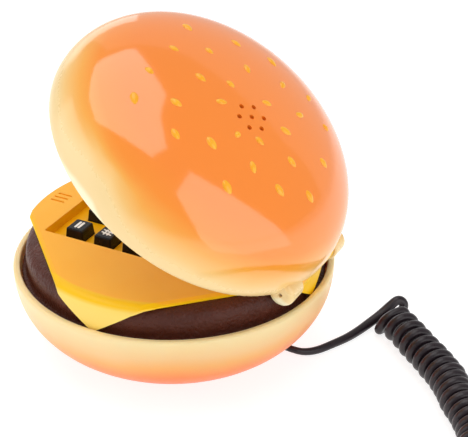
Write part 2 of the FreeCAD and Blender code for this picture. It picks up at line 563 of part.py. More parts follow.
# inner plate of the lid with the earpiece grille
lz0, lz1 = L0 + LINER_Z0, L0 + LINER_Z0 + LINER_T
liner = cyl(LINER_R, lz0, lz1)
liner = liner.makeFillet(0.6, [e for e in liner.Edges if e.BoundBox.ZMax < lz0 + 0.01])
ring = cyl(19.0, lz0 - 1.2, lz1)
ring = ring.makeFillet(0.9, [e for e in ring.Edges if e.BoundBox.ZMax < lz0 - 1.19])
liner = liner.fuse(ring)
liner = liner.cut(Part.makeSphere(60.0, V(0, 0, lz0 - 1.2 - 60.0 + 0.9)).common(cyl(15.5, lz0 - 5, lz0 + 1)))
liner = liner.fuse(cyl(16.6, lz1 - 0.2, lz1 + 4.0).cut(cyl(15.05, lz1 - 1, lz1 + 5)))
liner = liner.cut(cyl(1.0, lz0 - 5, lz1 + 1))
for n, r in ((6, 5.0), (12, 10.0)):
    for i in range(n):
        a = 2 * math.pi * i / n
        liner = liner.cut(cyl(1.0, lz0 - 5, lz1 + 1, r * math.cos(a), r * math.sin(a)))
for x, y in LPOSTS:
    liner = liner.cut(cyl(1.2, lz0 - 1, lz1 + 1, x, y)).cut(cyl(2.3, lz0 - 1, lz0 + 0.9, x, y))
liner = liner.cut(box(-LUG_X1 - 0.8, LUG_X1 + 0.8, 49.6, 60, lz0 - 3, lz1 + 3))
put("lid_liner", opened(one(liner)))

ear = cyl(15.0, lz1, lz1 + 7.5)
ear = ear.makeFillet(1.2, [e for e in ear.Edges if e.BoundBox.ZMin > lz1 + 7.4])
put("earpiece", opened(ear))
buzz = cyl(12.0, L0 + 28.8, L0 + 32.6, 9.4, 6.2)
buzz = buzz.cut(cyl(2.0, L0 + 31.6, L0 + 34, 9.4, 6.2))
put("ringer_sounder", opened(buzz))
screws = []
for x, y in LPOSTS:
    s = cyl(2.1, lz0 + 0.05, lz0 + 0.9, x, y).fuse(cyl(1.0, lz0 + 0.9, L0 + 15.0, x, y))
    s = s.cut(box(x - 1.5, x + 1.5, y - 0.25, y + 0.25, lz0 - 1, lz0 + 0.5)).cut(box(x - 0.25, x + 0.25, y - 1.5, y + 1.5, lz0 - 1, lz0 + 0.5))
    screws.append(opened(one(s)))
put("lid_screws", Part.makeCompound(screws))
put("hinge_pin", opened(cyl_x(PIN_R, -PIN_HALF, PIN_HALF, HINGE_Y, HINGE_Z)))

# sesame seeds: one teardrop, laid along the dome at each place
SEED_PROFILE = ((0.0, -0.5), (0.33, -0.47), (0.66, -0.375), (0.9, -0.22), (1.0, -0.04), (0.88, 0.15), (0.55, 0.35),
                (0.22, 0.46), (0.0, 0.5))


def seed(k):
    prof = [(r * SEED_R, z * SEED_LEN * k) for r, z in SEED_PROFILE]
    return revolve([spline(prof), line(prof[-1], prof[0])])


def dome_z(r):
    u = (1 - (r / LID_R) ** LID_EXP) ** (1 / LID_EXP)
    return LID_WIDE_Z + (LID_H - LID_WIDE_Z) * u


seeds = []
for x, y, turn, k in SEEDS:
    r = math.hypot(x, y)
    h = 0.05
    slope = (dome_z(r + h) - dome_z(r - h)) / (2 * h)
    er = V(x / r, y / r, 0)
    n = V(-slope * er.x, -slope * er.y, 1)
    n.normalize()
    a = math.radians(turn)
    d = V(math.cos(a), math.sin(a), 0)
    tan = d - n * d.dot(n)
    tan.normalize()
    side = n.cross(tan)
    m = FreeCAD.Matrix(side.x, n.x, tan.x, 0, side.y, n.y, tan.y, 0, side.z, n.z, tan.z, 0, 0, 0, 0, 1)
    if m.determinant() < 0:
        m = FreeCAD.Matrix(-side.x, n.x, tan.x, 0, -side.y, n.y, tan.y, 0, -side.z, n.z, tan.z, 0, 0, 0, 0, 1)
    s = seed(k)
    pos = V(x, y, L0 + dome_z(r)) - n * SEED_SINK
    s.Placement = FreeCAD.Placement(pos, FreeCAD.Placement(m).Rotation)
    seeds.append(opened(s))
put("sesame_seeds", Part.makeCompound(seeds))
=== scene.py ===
import math
import random

import bmesh
import bpy
import numpy as np
from mathutils import Matrix, Vector, noise


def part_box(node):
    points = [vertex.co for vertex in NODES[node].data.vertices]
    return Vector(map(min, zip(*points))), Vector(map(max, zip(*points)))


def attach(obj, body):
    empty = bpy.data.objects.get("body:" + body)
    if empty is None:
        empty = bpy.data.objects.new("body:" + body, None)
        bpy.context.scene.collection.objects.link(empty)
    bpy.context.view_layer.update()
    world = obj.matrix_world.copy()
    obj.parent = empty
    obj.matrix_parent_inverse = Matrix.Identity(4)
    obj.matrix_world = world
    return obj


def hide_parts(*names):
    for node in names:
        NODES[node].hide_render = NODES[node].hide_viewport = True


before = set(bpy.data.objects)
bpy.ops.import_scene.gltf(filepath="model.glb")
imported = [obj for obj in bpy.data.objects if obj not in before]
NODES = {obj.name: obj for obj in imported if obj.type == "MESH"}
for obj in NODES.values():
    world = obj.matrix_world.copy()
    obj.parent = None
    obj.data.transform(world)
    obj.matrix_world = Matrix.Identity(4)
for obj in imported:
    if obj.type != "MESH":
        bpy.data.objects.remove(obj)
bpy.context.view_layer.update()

SCENE = bpy.context.scene
MM = 0.001

# hinge line and the lid's angle in the rest pose
HINGE = Vector((0.0, 0.0552, 0.0449))
LID_OPEN = math.radians(36.0)
LID_Z = 0.044


# ------------------------------------------------------------------- helpers
def add_object(name, data):
    ob = bpy.data.objects.new(name, data)
    SCENE.collection.objects.link(ob)
    return ob


def mesh_object(name, verts, faces, smooth=True):
    me = bpy.data.meshes.new(name)
    me.from_pydata([tuple(v) for v in verts], [], faces)
    me.validate()
    me.update()
    if smooth:
        me.polygons.foreach_set("use_smooth", [True] * len(me.polygons))
    return add_object(name, me)


class Nodes:
    """Small builder for a node material."""

    def __init__(self, name):
        self.mat = bpy.data.materials.new(name)
        self.mat.use_nodes = True
        self.nt = self.mat.node_tree
        self.bsdf = self.nt.nodes["Principled BSDF"]
        self.out = self.nt.nodes["Material Output"]

    def new(self, kind, **props):
        n = self.nt.nodes.new(kind)
        for k, v in props.items():
            setattr(n, k, v)
        return n

    def link(self, a, b):
        self.nt.links.new(a, b)

    def set(self, **values):
        for k, v in values.items():
            self.bsdf.inputs[k.replace("_", " ")].default_value = v

    def coords(self):
        return self.new("ShaderNodeTexCoord").outputs["Object"]

    def mapped(self, vec, loc=(0, 0, 0), rot=(0, 0, 0), scale=(1, 1, 1)):
        m = self.new("ShaderNodeMapping")
        m.inputs["Location"].default_value = loc
        m.inputs["Rotation"].default_value = rot
        m.inputs["Scale"].default_value = scale
        self.link(vec, m.inputs["Vector"])
        return m.outputs["Vector"]

    def noise(self, vec, scale, detail=3.0, rough=0.55, distortion=0.0):
        n = self.new("ShaderNodeTexNoise")
        n.inputs["Scale"].default_value = scale
        n.inputs["Detail"].default_value = detail
        n.inputs["Roughness"].default_value = rough
        n.inputs["Distortion"].default_value = distortion
        self.link(vec, n.inputs["Vector"])
        return n.outputs["Fac"]

    def ramp(self, fac, stops, mode="EASE"):
        r = self.new("ShaderNodeValToRGB")
        cr = r.color_ramp
        cr.interpolation = mode
        while len(cr.elements) < len(stops):
            cr.elements.new(0.5)
        for e, (p, c) in zip(cr.elements, stops):
            e.position = p
            e.color = (*c, 1.0) if len(c) == 3 else c
        self.link(fac, r.inputs["Fac"])
        return r.outputs["Color"]

    def map_range(self, val, a, b, c, d):
        m = self.new("ShaderNodeMapRange")
        m.inputs["From Min"].default_value = a
        m.inputs["From Max"].default_value = b
        m.inputs["To Min"].default_value = c
        m.inputs["To Max"].default_value = d
        self.link(val, m.inputs["Value"])
        return m.outputs["Result"]

    def math(self, op, a, b):
        m = self.new("ShaderNodeMath", operation=op)
        for i, v in enumerate((a, b)):
            if isinstance(v, (int, float)):
                m.inputs[i].default_value = v
            else:
                self.link(v, m.inputs[i])
        return m.outputs["Value"]

    def mix(self, fac, a, b, mode="MIX"):
        m = self.new("ShaderNodeMix", data_type="RGBA", blend_type=mode)
        ins = [s for s in m.inputs if s.enabled]
        for s, v in zip(ins, (fac, a, b)):
            if isinstance(v, (int, float)):
                s.default_value = v
            elif isinstance(v, tuple):
                s.default_value = (*v, 1.0) if len(v) == 3 else v
            else:
                self.link(v, s)
        return [s for s in m.outputs if s.enabled][0]

    def bump(self, height, strength, distance, chain=None):
        b = self.new("ShaderNodeBump")
        b.inputs["Strength"].default_value = strength
        b.inputs["Distance"].default_value = distance
        self.link(height, b.inputs["Height"])
        if chain is not None:
            self.link(chain, b.inputs["Normal"])
        return b.outputs["Normal"]

    def separate(self, vec):
        s = self.new("ShaderNodeSeparateXYZ")
        self.link(vec, s.inputs["Vector"])
        return s.outputs


def srgb(r, g, b):
    def f(c):
        c /= 255.0
        return c / 12.92 if c <= 0.04045 else ((c + 0.055) / 1.055) ** 2.4
    return (f(r), f(g), f(b))


def give(material, *names):
    for n in names:
        me = NODES[n].data
        me.materials.clear()
        me.materials.append(material)


# ---------------------------------------------------- camera, floor and light
cam = bpy.data.cameras.new("camera")
cam.sensor_fit = "HORIZONTAL"
cam.sensor_width = 36.0
cam.lens = 112.18
cam.clip_start = 0.01
cam.clip_end = 50.0
cam_ob = add_object("camera", cam)
cam_ob.location = (0.405444, 0.239027, 0.314958)
cam_ob.rotation_euler = Vector((-0.770331, -0.406097, -0.491605)).to_track_quat("-Z", "Y").to_euler()
SCENE.camera = cam_ob
SCENE.view_settings.view_transform = "Standard"
SCENE.view_settings.look = "None"

AIM = Vector((0.02, 0.03, 0.09))


def soft_box(name, directions, distance, facing, strength, color=(1.0, 1.0, 1.0)):
    """A flat glowing panel whose corners lie along the given directions from the lid."""
    facing = Vector(facing).normalized()
    verts = []
    for d in directions:
        d = Vector(d).normalized()
        verts.append(AIM + d * (distance / d.dot(facing)))
    ob = mesh_object(name, verts, [tuple(range(len(verts)))], smooth=False)
    m = bpy.data.materials.new(name)
    m.use_nodes = True
    nt = m.node_tree
    nt.nodes.clear()
    em = nt.nodes.new("ShaderNodeEmission")
    em.inputs["Color"].default_value = (*color, 1.0)
    em.inputs["Strength"].default_value = strength
    out = nt.nodes.new("ShaderNodeOutputMaterial")
    nt.links.new(em.outputs[0], out.inputs["Surface"])
    ob.data.materials.append(m)
    ob.visible_camera = False
    return ob


# overhead panel, side panel behind the hinge and its card on the table, pale wall on the far side
soft_box("panel_top", [(-.55, -.34, .76), (-.29, -.63, .72), (.12, -.62, .79), (.38, -.47, .80),
                       (.40, .29, .87), (.16, .38, .91), (-.07, .21, .98), (-.31, .12, .94)],
         1.0, (-0.05, -0.15, 1.0), 2.2)
soft_box("panel_side", [(.19, .61, .77), (.55, .58, .60), (.66, .74, -.06), (-.27, .95, -.06)],
         0.9, (0.3, 0.9, 0.3), 1.95)
soft_box("card_side", [(-.27, .95, -.065), (.66, .74, -.065), (.59, .76, -.27), (.29, .91, -.31), (.03, .96, -.27),
                       (-.27, .91, -.30)],
         0.088, (0.0, 0.0, -1.0), 1.95)
soft_box("wall_far", [(-.62, -.78, .95), (-.70, -.02, .68), (-.73, .16, .655), (-.75, .30, .59), (-.74, .52, .42),
                      (-.72, .60, -.06), (-.62, -.78, -.06)],
         1.2, (-1.0, 0.0, 0.0), 0.7)
soft_box("fill_left", [(.75, -.62, .62), (.05, -.95, .55), (.05, -.95, -.05), (.80, -.60, -.05)],
         1.1, (0.45, -0.88, 0.15), 1.68)
soft_box("fill_front", [(.75, -.62, .62), (.80, -.60, -.05), (.97, -.22, -.05), (.78, -.20, .60)],
         1.1, (0.85, -0.45, 0.25), 1.1)
soft_box("strip_low", [(-.45, -.90, .30), (-.80, -.55, .30), (-.80, -.55, .02), (-.45, -.90, .02)],
         1.0, (-0.65, -0.72, 0.15), 1.6)

world = bpy.data.worlds.new("studio")
world.use_nodes = True
bg = world.node_tree.nodes["Background"]
bg.inputs["Color"].default_value = (1.0, 1.0, 1.0, 1.0)
bg.inputs["Strength"].default_value = 0.45
SCENE.world = world

n = 48
verts = [(2.2 * math.cos(2 * math.pi * i / n), 2.2 * math.sin(2 * math.pi * i / n), 0.0) for i in range(n)]
floor = mesh_object("floor", verts, [tuple(range(n))], smooth=False)
fm = Nodes("floor_paint")
fn = fm.noise(fm.coords(), 40.0, 2.0)
fm.link(fm.map_range(fn, 0.3, 0.7, 0.55, 0.65), fm.bsdf.inputs["Roughness"])
fm.link(fm.ramp(fn, [(0.3, (0.37, 0.37, 0.37)), (0.7, (0.39, 0.39, 0.39))]), fm.bsdf.inputs["Base Color"])
# painted light: the floor glows, which whitens the shadows on it; the glow fades from 0.42 m to 0.85 m out
fm.set(Emission_Color=(1.0, 1.0, 1.0, 1.0))
fx = fm.separate(fm.coords())
fr = fm.math("POWER", fm.math("ADD", fm.math("MULTIPLY", fx["X"], fx["X"]), fm.math("MULTIPLY", fx["Y"], fx["Y"])), 0.5)
fm.link(fm.map_range(fr, 0.42, 0.85, 0.82, 0.48), fm.bsdf.inputs["Emission Strength"])
floor.data.materials.append(fm.mat)


# ------------------------------------------------------------------- line cord
CORD_D = 0.0026         # straight parts
STRAND_D = 0.0037       # curly part
COIL_R = 0.00520
LEAN, YAW = math.radians(5.0), math.radians(12.0)
LEAD = ((-4.0, 44.5, 4.2), (-4.9, 49.0, 3.0), (-7.6, 52.4, 1.95), (-11.9, 55.3, 1.4),
        (-17.8, 58.3, 1.35), (-25.0, 60.9, 1.9), (-31.5, 63.0, 4.2), (-36.0, 65.2, 7.6))
COIL = ((-41.9, 66.2), (-38.4, 71.2), (-34.3, 76.9), (-28.4, 84.2), (-18.3, 95.7), (-6.9, 107.3),
        (6.0, 118.5), (20.6, 127.9), (36.0, 131.5), (51.0, 127.8), (62.0, 118.0),
        (69.5, 105.0), (74.5, 91.0), (77.6, 76.5), (79.0, 62.0))
TAIL = ((80.6, 55.6, 1.35), (83.8, 47.2, 1.35), (87.4, 39.2, 1.35), (89.9, 31.2, 2.0), (90.8, 23.5, 3.3))


def nurbs_curve(name, points):
    cu = bpy.data.curves.new(name, "CURVE")
    cu.dimensions = "3D"
    sp = cu.splines.new("NURBS")
    sp.points.add(len(points) - 1)
    for p, c in zip(sp.points, points):
        p.co = (c[0], c[1], c[2], 1.0)
    sp.order_u = 3
    sp.use_endpoint_u = True
    return cu


def read_route(points):
    cu = nurbs_curve("route", points)
    cu.resolution_u = 32
    ob = add_object("route", cu)
    bpy.context.view_layer.update()
    me = bpy.data.meshes.new_from_object(ob)
    out = [v.co.copy() for v in me.vertices]
    bpy.data.objects.remove(ob)
    bpy.data.curves.remove(cu)
    bpy.data.meshes.remove(me)
    return out


def coil_points():
    """Control points of the curly part: slack turns that lean over along the route's own spline."""
    zc = COIL_R * math.cos(LEAN) + STRAND_D / 2 + 0.0001
    axis = read_route([Vector((x * MM, y * MM, zc)) for x, y in COIL])
    pts = np.array([tuple(p) for p in axis])
    keep = np.r_[True, np.linalg.norm(np.diff(pts, axis=0), axis=1) > 1e-7]
    pts = pts[keep]
    s = np.r_[0.0, np.cumsum(np.linalg.norm(np.diff(pts, axis=0), axis=1))]
    total = s[-1]
    ss = np.linspace(0.0, total, 3000)
    p = np.array([np.interp(ss, s, pts[:, k]) for k in range(3)]).T
    t = np.gradient(p, ss, axis=0)
    win = np.ones(161) / 161.0
    for k in range(3):
        t[:, k] = np.convolve(np.pad(t[:, k], 80, mode="edge"), win, mode="valid")
    t /= np.linalg.norm(t, axis=1)[:, None]
    # the coil lies a little to one side of its tube
    shift = 0.0005 + 0.0014 * np.clip((ss - 0.030) / 0.025, 0.0, 1.0)
    shift = shift - 0.0012 * np.exp(-((ss - 0.065) / 0.009) ** 2)
    p = p - shift[:, None] * np.array([t[:, 1], -t[:, 0], np.zeros(len(ss))]).T
    # the first turns are pulled apart, the rest touch
    first = 0.0071
    pitch = 0.0041 + 0.0008 * np.clip((0.052 - ss) / 0.012, 0.0, 1.0) + 0.0023 * np.clip(1.0 - (ss - first) / 0.024, 0.0, 1.0)
    pitch = pitch * (1.0 + 0.02 * np.sin(ss * 410.0) + 0.015 * np.sin(ss * 173.0 + 1.1))
    phase = np.r_[0.0, np.cumsum(2 * math.pi / pitch[:-1] * np.diff(ss))]
    phase -= np.interp(first, ss, phase)
    # from the foot of a loose first turn to the foot of the last one
    lo = 0.0
    hi = 2 * math.pi * math.floor(phase[-1] / (2 * math.pi))
    phase = np.where(phase > 0.0, phase * (hi / phase[-1]), phase)
    per_turn = 16
    step = 2 * math.pi / per_turn
    r = COIL_R / (0.5 + 0.5 * math.cos(step / 2)) * 1.004
    out = []
    for k in range(int(round((hi - lo) / step)) + 1):
        ph = lo + k * step
        q = np.array([np.interp(ph, phase, p[:, j]) for j in range(3)])
        d = np.array([np.interp(ph, phase, t[:, j]) for j in range(3)])
        h = np.array((d[0] * math.cos(YAW) - d[1] * math.sin(YAW), d[0] * math.sin(YAW) + d[1] * math.cos(YAW), 0.0))
        h /= np.linalg.norm(h)
        side = np.cross(h, (0.0, 0.0, 1.0))
        up = h * math.sin(LEAN) + np.array((0.0, 0.0, math.cos(LEAN)))
        # the turns differ a little in size
        rr = r * (1.0 + 0.014 * math.sin(ph * 0.37) + 0.012 * math.sin(ph * 0.113 + 2.0))
        loose = min(max((math.pi / 2 - ph) / math.pi, 0.0), 1.0)
        # the first turn is wide and lies flatter than the rest
        flat = 1.0 - 0.34 * min(max((3.5 * math.pi - ph) / (2.5 * math.pi), 0.0), 1.0) * max(-math.cos(ph), 0.0)
        v = q + rr * ((1.0 + 1.05 * loose) * math.sin(ph) * side - flat * math.cos(ph) * up)
        sink = 0.0024 * min(max((1.25 * math.pi - ph) / (0.75 * math.pi), 0.0), 1.0) * min(ph / math.pi + 0.5, 1.0)
        v[2] = max(v[2] - sink + 0.0018 * max(loose - 0.5, 0.0) / 0.5, STRAND_D / 2)
        out.append(Vector(v))
    return out


# the lead's end lies lower than its tube and crosses to the far side of the first turn
lead_pts = [Vector(p) * MM for p in LEAD[:3]]
lead_pts += [Vector(p) * MM for p in ((-11.5, 55.5, 1.6), (-17.4, 58.5, 1.65), (-23.6, 61.6, 1.7), (-30.2, 63.7, 1.8), (-35.4, 65.6, 2.65),
                                      (-40.6, 67.9, 4.1), (-44.5, 70.15, 6.6), (-45.9, 71.1, 7.55), (-47.15, 71.98, 8.39), (-48.19, 73.14, 8.23),
                                      (-48.69, 74.18, 7.18), (-48.43, 74.63, 5.71), (-47.6, 74.35, 4.5), (-46.5, 73.9, 3.4), (-44.7, 73.4, 2.65), (-41.6, 72.8, 2.05))]
turn_pts = coil_points()
# no sharp corner where the first turn leaves the table
for _ in range(2):
    zs = [v.z for v in turn_pts]
    for k in range(1, 10):
        turn_pts[k].z = max(0.25 * zs[k - 1] + 0.5 * zs[k] + 0.25 * zs[k + 1], STRAND_D / 2)
tail_pts = [Vector((79.8, 60.3, 1.7)) * MM] + [Vector(p) * MM for p in TAIL]
cord_pts = lead_pts + turn_pts + tail_pts
cord_curve = nurbs_curve("line_cord", cord_pts)
cord_curve.bevel_depth = CORD_D / 2
cord_curve.bevel_resolution = 5
cord_curve.resolution_u = 3
cord_curve.use_fill_caps = True
# the lead thickens towards the curly part
THICK = (1.0, 1.0, 1.08, 1.16, 1.2, 1.26, 1.32)
for i, sp in enumerate(cord_curve.splines[0].points):
    if i < len(lead_pts) + len(turn_pts):
        sp.radius = THICK[i] if i < len(THICK) else STRAND_D / CORD_D
cord = add_object("line_cord", cord_curve)
chk = read_route(cord_pts)


# ------------------------------------------------------------------- materials
def lid_coords(m):
    """Coordinates in the closed lid's frame, whose z runs up from the table."""
    rot = Matrix.Rotation(LID_OPEN, 3, "X")
    loc = HINGE - rot @ HINGE
    return m.mapped(m.coords(), loc=tuple(loc), rot=(LID_OPEN, 0, 0))


# top bun: airbrushed orange over cream
m = Nodes("top_bun")
c = lid_coords(m)
xyz = m.separate(c)
wob = m.noise(c, 28.0, 2.0)
h = m.math("ADD", m.map_range(xyz["Z"], LID_Z - 0.006, LID_Z + 0.038, 0.0, 1.0), m.map_range(wob, 0.3, 0.7, -0.026, 0.026))
# painted shade: the orange comes lower on the hinge side, darkening that side
h = m.math("ADD", h, m.map_range(xyz["Y"], -0.06, 0.03, -0.036, 0.052))
# painted light: the cream reaches higher on one flank, lightening the dark band there
painted_light_flank = m.map_range(m.math("ABSOLUTE", m.math("ADD", xyz["Y"], 0.0155), 0.0), 0.005, 0.0185, 1.0, 0.0)
painted_light_flank = m.math("MULTIPLY", painted_light_flank, m.map_range(xyz["X"], 0.034, 0.050, 0.0, 1.0))
painted_light_flank = m.math("MULTIPLY", painted_light_flank, m.map_range(h, 0.50, 0.57, 1.0, 0.0))
h = m.math("SUBTRACT", h, m.math("MULTIPLY", painted_light_flank, 0.11))
# painted light: the hinge lugs, shaded under the lid, take the palest stops of the ramp
lug_painted_light = m.math("MULTIPLY", m.map_range(xyz["Y"], 0.052, 0.056, 0.0, 1.0), m.map_range(h, 0.20, 0.28, 1.0, 0.0))
h = m.math("SUBTRACT", h, m.math("MULTIPLY", lug_painted_light, 0.10))
# the two first stops, paler than the rim's cream, are painted light for the shaded lugs
col = m.ramp(h, [(0.0, (1.0, 0.92, 0.62)), (0.08, (1.0, 0.91, 0.60)), (0.120, (0.93, 0.68, 0.31)), (0.266, (0.93, 0.67, 0.295)),
                 (0.37, (0.94, 0.55, 0.165)), (0.482, (0.95, 0.41, 0.062)), (0.611, (0.96, 0.28, 0.020)), (0.758, (0.96, 0.25, 0.020))],
             "LINEAR")
m.link(col, m.bsdf.inputs["Base Color"])
fine = m.noise(c, 900.0, 2.0)
# the thin overspray at the rim is less glossy than the crown
m.link(m.math("ADD", m.map_range(fine, 0.3, 0.7, 0.085, 0.115), m.map_range(h, 0.26, 0.50, 0.19, 0.0)), m.bsdf.inputs["Roughness"])
m.link(m.bump(m.noise(c, 160.0, 2.0), 0.05, 0.0004), m.bsdf.inputs["Normal"])
m.set(IOR=1.75)
TOP_BUN = m.mat

# bottom bun: satin, cream band shading to peach below
m = Nodes("bottom_bun")
c = m.coords()
xyz = m.separate(c)
wob = m.noise(c, 28.0, 2.0)
h = m.math("ADD", m.map_range(xyz["Z"], 0.0, 0.0347, 0.0, 1.0), m.map_range(wob, 0.3, 0.7, -0.03, 0.03))
# painted shade: darker and more orange towards +Y and towards low X
h = m.math("ADD", h, m.map_range(xyz["Y"], -0.06, 0.06, 0.03, -0.05))
h = m.math("ADD", h, m.map_range(xyz["X"], 0.0, 0.024, -0.10, 0.0))
col = m.ramp(h, [(0.0, (0.95, 0.12, 0.006)), (0.25, (0.95, 0.135, 0.008)), (0.45, (0.95, 0.235, 0.026)), (0.62, (0.96, 0.445, 0.125)),
                 (0.75, (0.97, 0.595, 0.27)), (0.86, (0.98, 0.69, 0.35)), (0.94, (0.98, 0.74, 0.40)), (1.0, (0.99, 0.70, 0.36))], "LINEAR")
m.link(col, m.bsdf.inputs["Base Color"])
fine = m.noise(c, 900.0, 2.0)
m.link(m.map_range(fine, 0.3, 0.7, 0.30, 0.38), m.bsdf.inputs["Roughness"])
m.link(m.bump(m.noise(c, 700.0, 2.0), 0.06, 0.0003), m.bsdf.inputs["Normal"])
m.set(IOR=1.4, Subsurface_Weight=0.5, Subsurface_Radius=(1.0, 0.8, 0.6), Subsurface_Scale=0.003)
BOTTOM_BUN = m.mat

# patty: dark brown, leathery
m = Nodes("patty")
c = m.coords()
grain = m.noise(c, 760.0, 4.0, 0.6)
blotch = m.noise(c, 90.0, 3.0)
col = m.mix(m.map_range(blotch, 0.35, 0.65, 0.0, 1.0), (0.072, 0.016, 0.008), (0.097, 0.023, 0.012))
m.link(col, m.bsdf.inputs["Base Color"])
m.link(m.map_range(grain, 0.3, 0.7, 0.24, 0.46), m.bsdf.inputs["Roughness"])
m.link(m.bump(grain, 0.95, 0.0006), m.bsdf.inputs["Normal"])
m.set(IOR=1.33)
PATTY = m.mat

# cheese: one yellow painted in zones that stand for light and shade: orange on the top in the lid's shade, darker in
# the key recess, saturated on the folds, pale on the lit flaps
m = Nodes("cheese")
c = m.coords()
mot = m.noise(c, 60.0, 3.0)
xyz = m.separate(c)
z = xyz["Z"]
rad = m.math("POWER", m.math("ADD", m.math("MULTIPLY", xyz["X"], xyz["X"]), m.math("MULTIPLY", xyz["Y"], xyz["Y"])), 0.5)
rad = m.math("ADD", rad, m.map_range(mot, 0.35, 0.65, -0.0002, 0.0002))
corner = m.map_range(m.math("MULTIPLY", xyz["X"], xyz["X"]), 0.0016, 0.0020, 0.0, 1.0)
fold = m.math("MAXIMUM", m.math("MULTIPLY", m.map_range(rad, 0.0513, 0.0521, 0.0, 1.0), corner), m.map_range(z, 0.0448, 0.0451, 1.0, 0.0))
# painted light: the flaps away from the hinge, which face the lamps, are painted pale yellow
lit_flap = m.math("MULTIPLY", m.map_range(z, 0.0434, 0.0446, 1.0, 0.0), m.map_range(rad, 0.053, 0.054, 0.0, 1.0))
# painted shade: the top, shaded by the lid and lit by orange light thrown off it, is painted golden orange
top = m.mix(m.map_range(mot, 0.35, 0.65, 0.0, 1.0), (1.0, 0.465, 0.022), (1.0, 0.485, 0.03))
# painted shade: the key recess is painted a darker yellow
recess_shade = m.math("MULTIPLY", m.map_range(z, 0.0448, 0.0451, 1.0, 0.0), m.map_range(rad, 0.048, 0.0485, 1.0, 0.0))
col = m.mix(recess_shade, m.mix(fold, top, (0.98, 0.57, 0.001)), (0.98, 0.50, 0.0))
lit_flap = m.math("MULTIPLY", lit_flap, m.map_range(xyz["Y"], 0.020, 0.035, 1.0, 0.0))
col = m.mix(lit_flap, col, (0.98, 0.70, 0.15))
m.link(col, m.bsdf.inputs["Base Color"])
fine = m.noise(c, 900.0, 2.0)
m.link(m.map_range(fine, 0.3, 0.7, 0.30, 0.38), m.bsdf.inputs["Roughness"])
m.link(m.bump(fine, 0.05, 0.0003), m.bsdf.inputs["Normal"])
m.set(IOR=1.36)
CHEESE = m.mat


def plastic(name, a, b, rough=(0.3, 0.4), scale=200.0, bump=0.05, metallic=0.0):
    m = Nodes(name)
    c = m.coords()
    f = m.noise(c, scale, 3.0)
    m.link(m.mix(m.map_range(f, 0.35, 0.65, 0.0, 1.0), a, b), m.bsdf.inputs["Base Color"])
    g = m.noise(c, scale * 4.0, 2.0)
    m.link(m.map_range(g, 0.3, 0.7, *rough), m.bsdf.inputs["Roughness"])
    m.link(m.bump(g, bump, 0.0003), m.bsdf.inputs["Normal"])
    m.set(Metallic=metallic)
    return m.mat


SEED = plastic("seed", (0.96, 0.40, 0.012), (0.97, 0.46, 0.02), (0.14, 0.22), 300.0)
KEY = plastic("key_black", (0.005, 0.005, 0.006), (0.008, 0.007, 0.008), (0.26, 0.34), 500.0)
KEY.node_tree.nodes["Principled BSDF"].inputs["IOR"].default_value = 1.34
CORD = plastic("cord_jacket", (0.014, 0.008, 0.012), (0.020, 0.011, 0.015), (0.27, 0.37), 300.0)
CORD.node_tree.nodes["Principled BSDF"].inputs["IOR"].default_value = 1.45
LINER = plastic("liner_cream", (0.92, 0.72, 0.40), (0.93, 0.75, 0.44), (0.3, 0.4), 60.0)
RUBBER = plastic("rubber", (0.03, 0.03, 0.03), (0.04, 0.04, 0.04), (0.7, 0.85), 300.0, 0.2)
SILICONE = plastic("silicone", (0.40, 0.40, 0.41), (0.45, 0.45, 0.46), (0.5, 0.6), 200.0)
BOARD = plastic("board_green", (0.03, 0.16, 0.06), (0.04, 0.20, 0.08), (0.3, 0.45), 500.0)
BLACK = plastic("component_black", (0.015, 0.015, 0.016), (0.022, 0.022, 0.022), (0.45, 0.6), 400.0)
ALU = plastic("capsule", (0.6, 0.6, 0.62), (0.66, 0.66, 0.67), (0.3, 0.42), 400.0, 0.05, 1.0)
STEEL = plastic("steel", (0.56, 0.55, 0.53), (0.62, 0.61, 0.60), (0.22, 0.34), 500.0, 0.05, 1.0)
BRASS = plastic("contacts", (0.80, 0.60, 0.24), (0.84, 0.65, 0.30), (0.2, 0.3), 500.0, 0.05, 1.0)
CLEAR = plastic("clear_plug", (0.88, 0.89, 0.9), (0.92, 0.92, 0.93), (0.06, 0.12), 300.0, 0.03)

LEGEND = plastic("legend_white", (0.84, 0.83, 0.82), (0.90, 0.89, 0.88), (0.45, 0.55), 900.0)


# --------------------------------------------------------- patty with its grain
def patty_skin():
    """The patty ring as a fine mesh whose surface is dented all over like leather."""
    ob = add_object("patty_skin", NODES["patty_ring"].data.copy())
    md = ob.modifiers.new("grid", "REMESH")
    md.mode = "VOXEL"
    md.voxel_size = 0.00045
    md.use_smooth_shade = True
    bpy.context.view_layer.update()
    me = bpy.data.meshes.new_from_object(ob.evaluated_get(bpy.context.evaluated_depsgraph_get()))
    old = ob.data
    ob.modifiers.clear()
    ob.data = me
    bpy.data.meshes.remove(old)
    n = len(me.vertices)
    co = np.empty(n * 3, dtype=np.float32)
    no = np.empty(n * 3, dtype=np.float32)
    me.vertices.foreach_get("co", co)
    me.vertex_normals.foreach_get("vector", no)
    co, no = co.reshape(-1, 3), no.reshape(-1, 3)
    for i in range(n):
        x, y, z = (float(v) for v in co[i])
        if math.hypot(x, y) < 0.0525 and z < 0.0425:
            continue
        q = Vector((x, y, z)) * 1000.0
        cells = noise.voronoi(q * 0.62 + noise.noise_vector(q * 0.5) * 0.35)[0]
        d = -0.17 * max(0.0, 1.0 - (cells[1] - cells[0]) / 0.34) + 0.10 * noise.noise(q * 1.3) + 0.10 * noise.noise(q * 0.16)
        co[i] += no[i] * (d * 0.001)
    me.vertices.foreach_set("co", co.reshape(-1))
    me.update()
    print("patty faces", len(me.polygons))
    return ob


